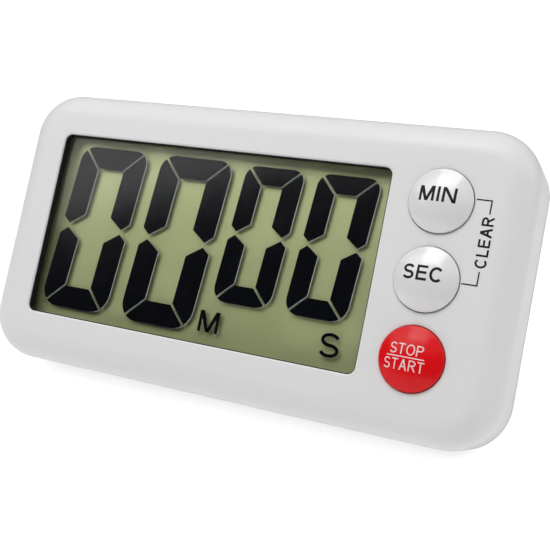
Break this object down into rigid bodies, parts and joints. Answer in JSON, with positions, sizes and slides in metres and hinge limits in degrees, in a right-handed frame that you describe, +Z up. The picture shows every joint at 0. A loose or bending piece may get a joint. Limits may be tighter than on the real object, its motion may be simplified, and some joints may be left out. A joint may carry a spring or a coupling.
{
  "type": "lab timer",
  "caption": "Countdown lab timer with a segment display, press buttons and a fold-out rear stand, standing leaned back.",
  "frame": {"origin": "middle of the box around the standing timer, on the surface it stands on", "axes": "+X to the right as the display is read, +Z up, -Y towards the reader; the face leans back 27.44 degrees about X"},
  "size_m": [0.096, 0.0356, 0.0503],
  "materials": {
    "white_case": "fine satin moulded white plastic",
    "black_gasket": "matte black rubber",
    "display_film": "matt polariser film",
    "display_glass": "clear thin glass",
    "display_ink": "black display segments",
    "display_back": "grey-green reflector",
    "black_plastic": "black moulded plastic",
    "zebra_rubber": "pink and black striped contact rubber",
    "board_green": "green lacquered board",
    "black_resin": "black epoxy",
    "chip_ceramic": "fired ceramic",
    "ferrite": "dark ferrite",
    "silicone": "translucent white silicone rubber",
    "carbon": "carbon-filled rubber",
    "white_button": "glossy white plastic",
    "red_button": "glossy red plastic",
    "brass": "rolled brass sheet",
    "wire_jacket": "coloured wire insulation",
    "cell_sleeve": "printed sleeve over a steel can",
    "steel": "plated steel",
    "magnet": "nickel-plated magnet"
  },
  "bodies": {
    "case": {"front_case": "white_case", "rear_case": "white_case", "window_gasket": "black_gasket", "lcd_front_film": "display_film", "lcd_front_glass": "display_glass", "lcd_segments": "display_ink", "lcd_rear_glass": "display_glass", "lcd_reflector": "display_back", "lcd_frame": "black_plastic", "zebra_strip": "zebra_rubber", "circuit_board": "board_green", "controller_blob": "black_resin", "crystal_can": "steel", "chip_resistors": "black_resin", "chip_capacitors": "chip_ceramic", "boost_coil": "ferrite", "driver_transistor": "black_resin", "keypad_mat": "silicone", "piezo_disc": "brass", "piezo_ceramic": "chip_ceramic", "buzzer_wires": "wire_jacket", "battery_cell": "cell_sleeve", "battery_spring": "steel", "battery_plate": "steel", "battery_wires": "wire_jacket", "magnets": "magnet", "case_screws": "steel", "board_screws": "steel"},
    "min_key": {"min_button": "white_button", "min_dome": "silicone", "min_contact": "carbon"},
    "sec_key": {"sec_button": "white_button", "sec_dome": "silicone", "sec_contact": "carbon"},
    "start_key": {"start_button": "red_button", "start_dome": "silicone", "start_contact": "carbon"},
    "door": {"battery_door": "white_case"},
    "stand": {"rear_stand": "white_case"}
  },
  "joints": [
    {"name": "min_press", "type": "slide", "parent": "case", "child": "min_key", "axis": [0, 0.8875, -0.4608], "range_m": [0, 0.001], "stiffness_N_per_m": 1500},
    {"name": "sec_press", "type": "slide", "parent": "case", "child": "sec_key", "axis": [0, 0.8875, -0.4608], "range_m": [0, 0.001], "stiffness_N_per_m": 1500},
    {"name": "start_press", "type": "slide", "parent": "case", "child": "start_key", "axis": [0, 0.8875, -0.4608], "range_m": [0, 0.001], "stiffness_N_per_m": 1500},
    {"name": "door_slide", "type": "slide", "parent": "case", "child": "door", "axis": [0, 0.4608, 0.8875], "range_m": [0, 0.018]},
    {"name": "stand_fold", "type": "hinge", "parent": "case", "child": "stand", "pos_m": [0, 0.00817, 0.02679], "axis": [-1, 0, 0], "range_deg": [0, 42]}
  ]
}
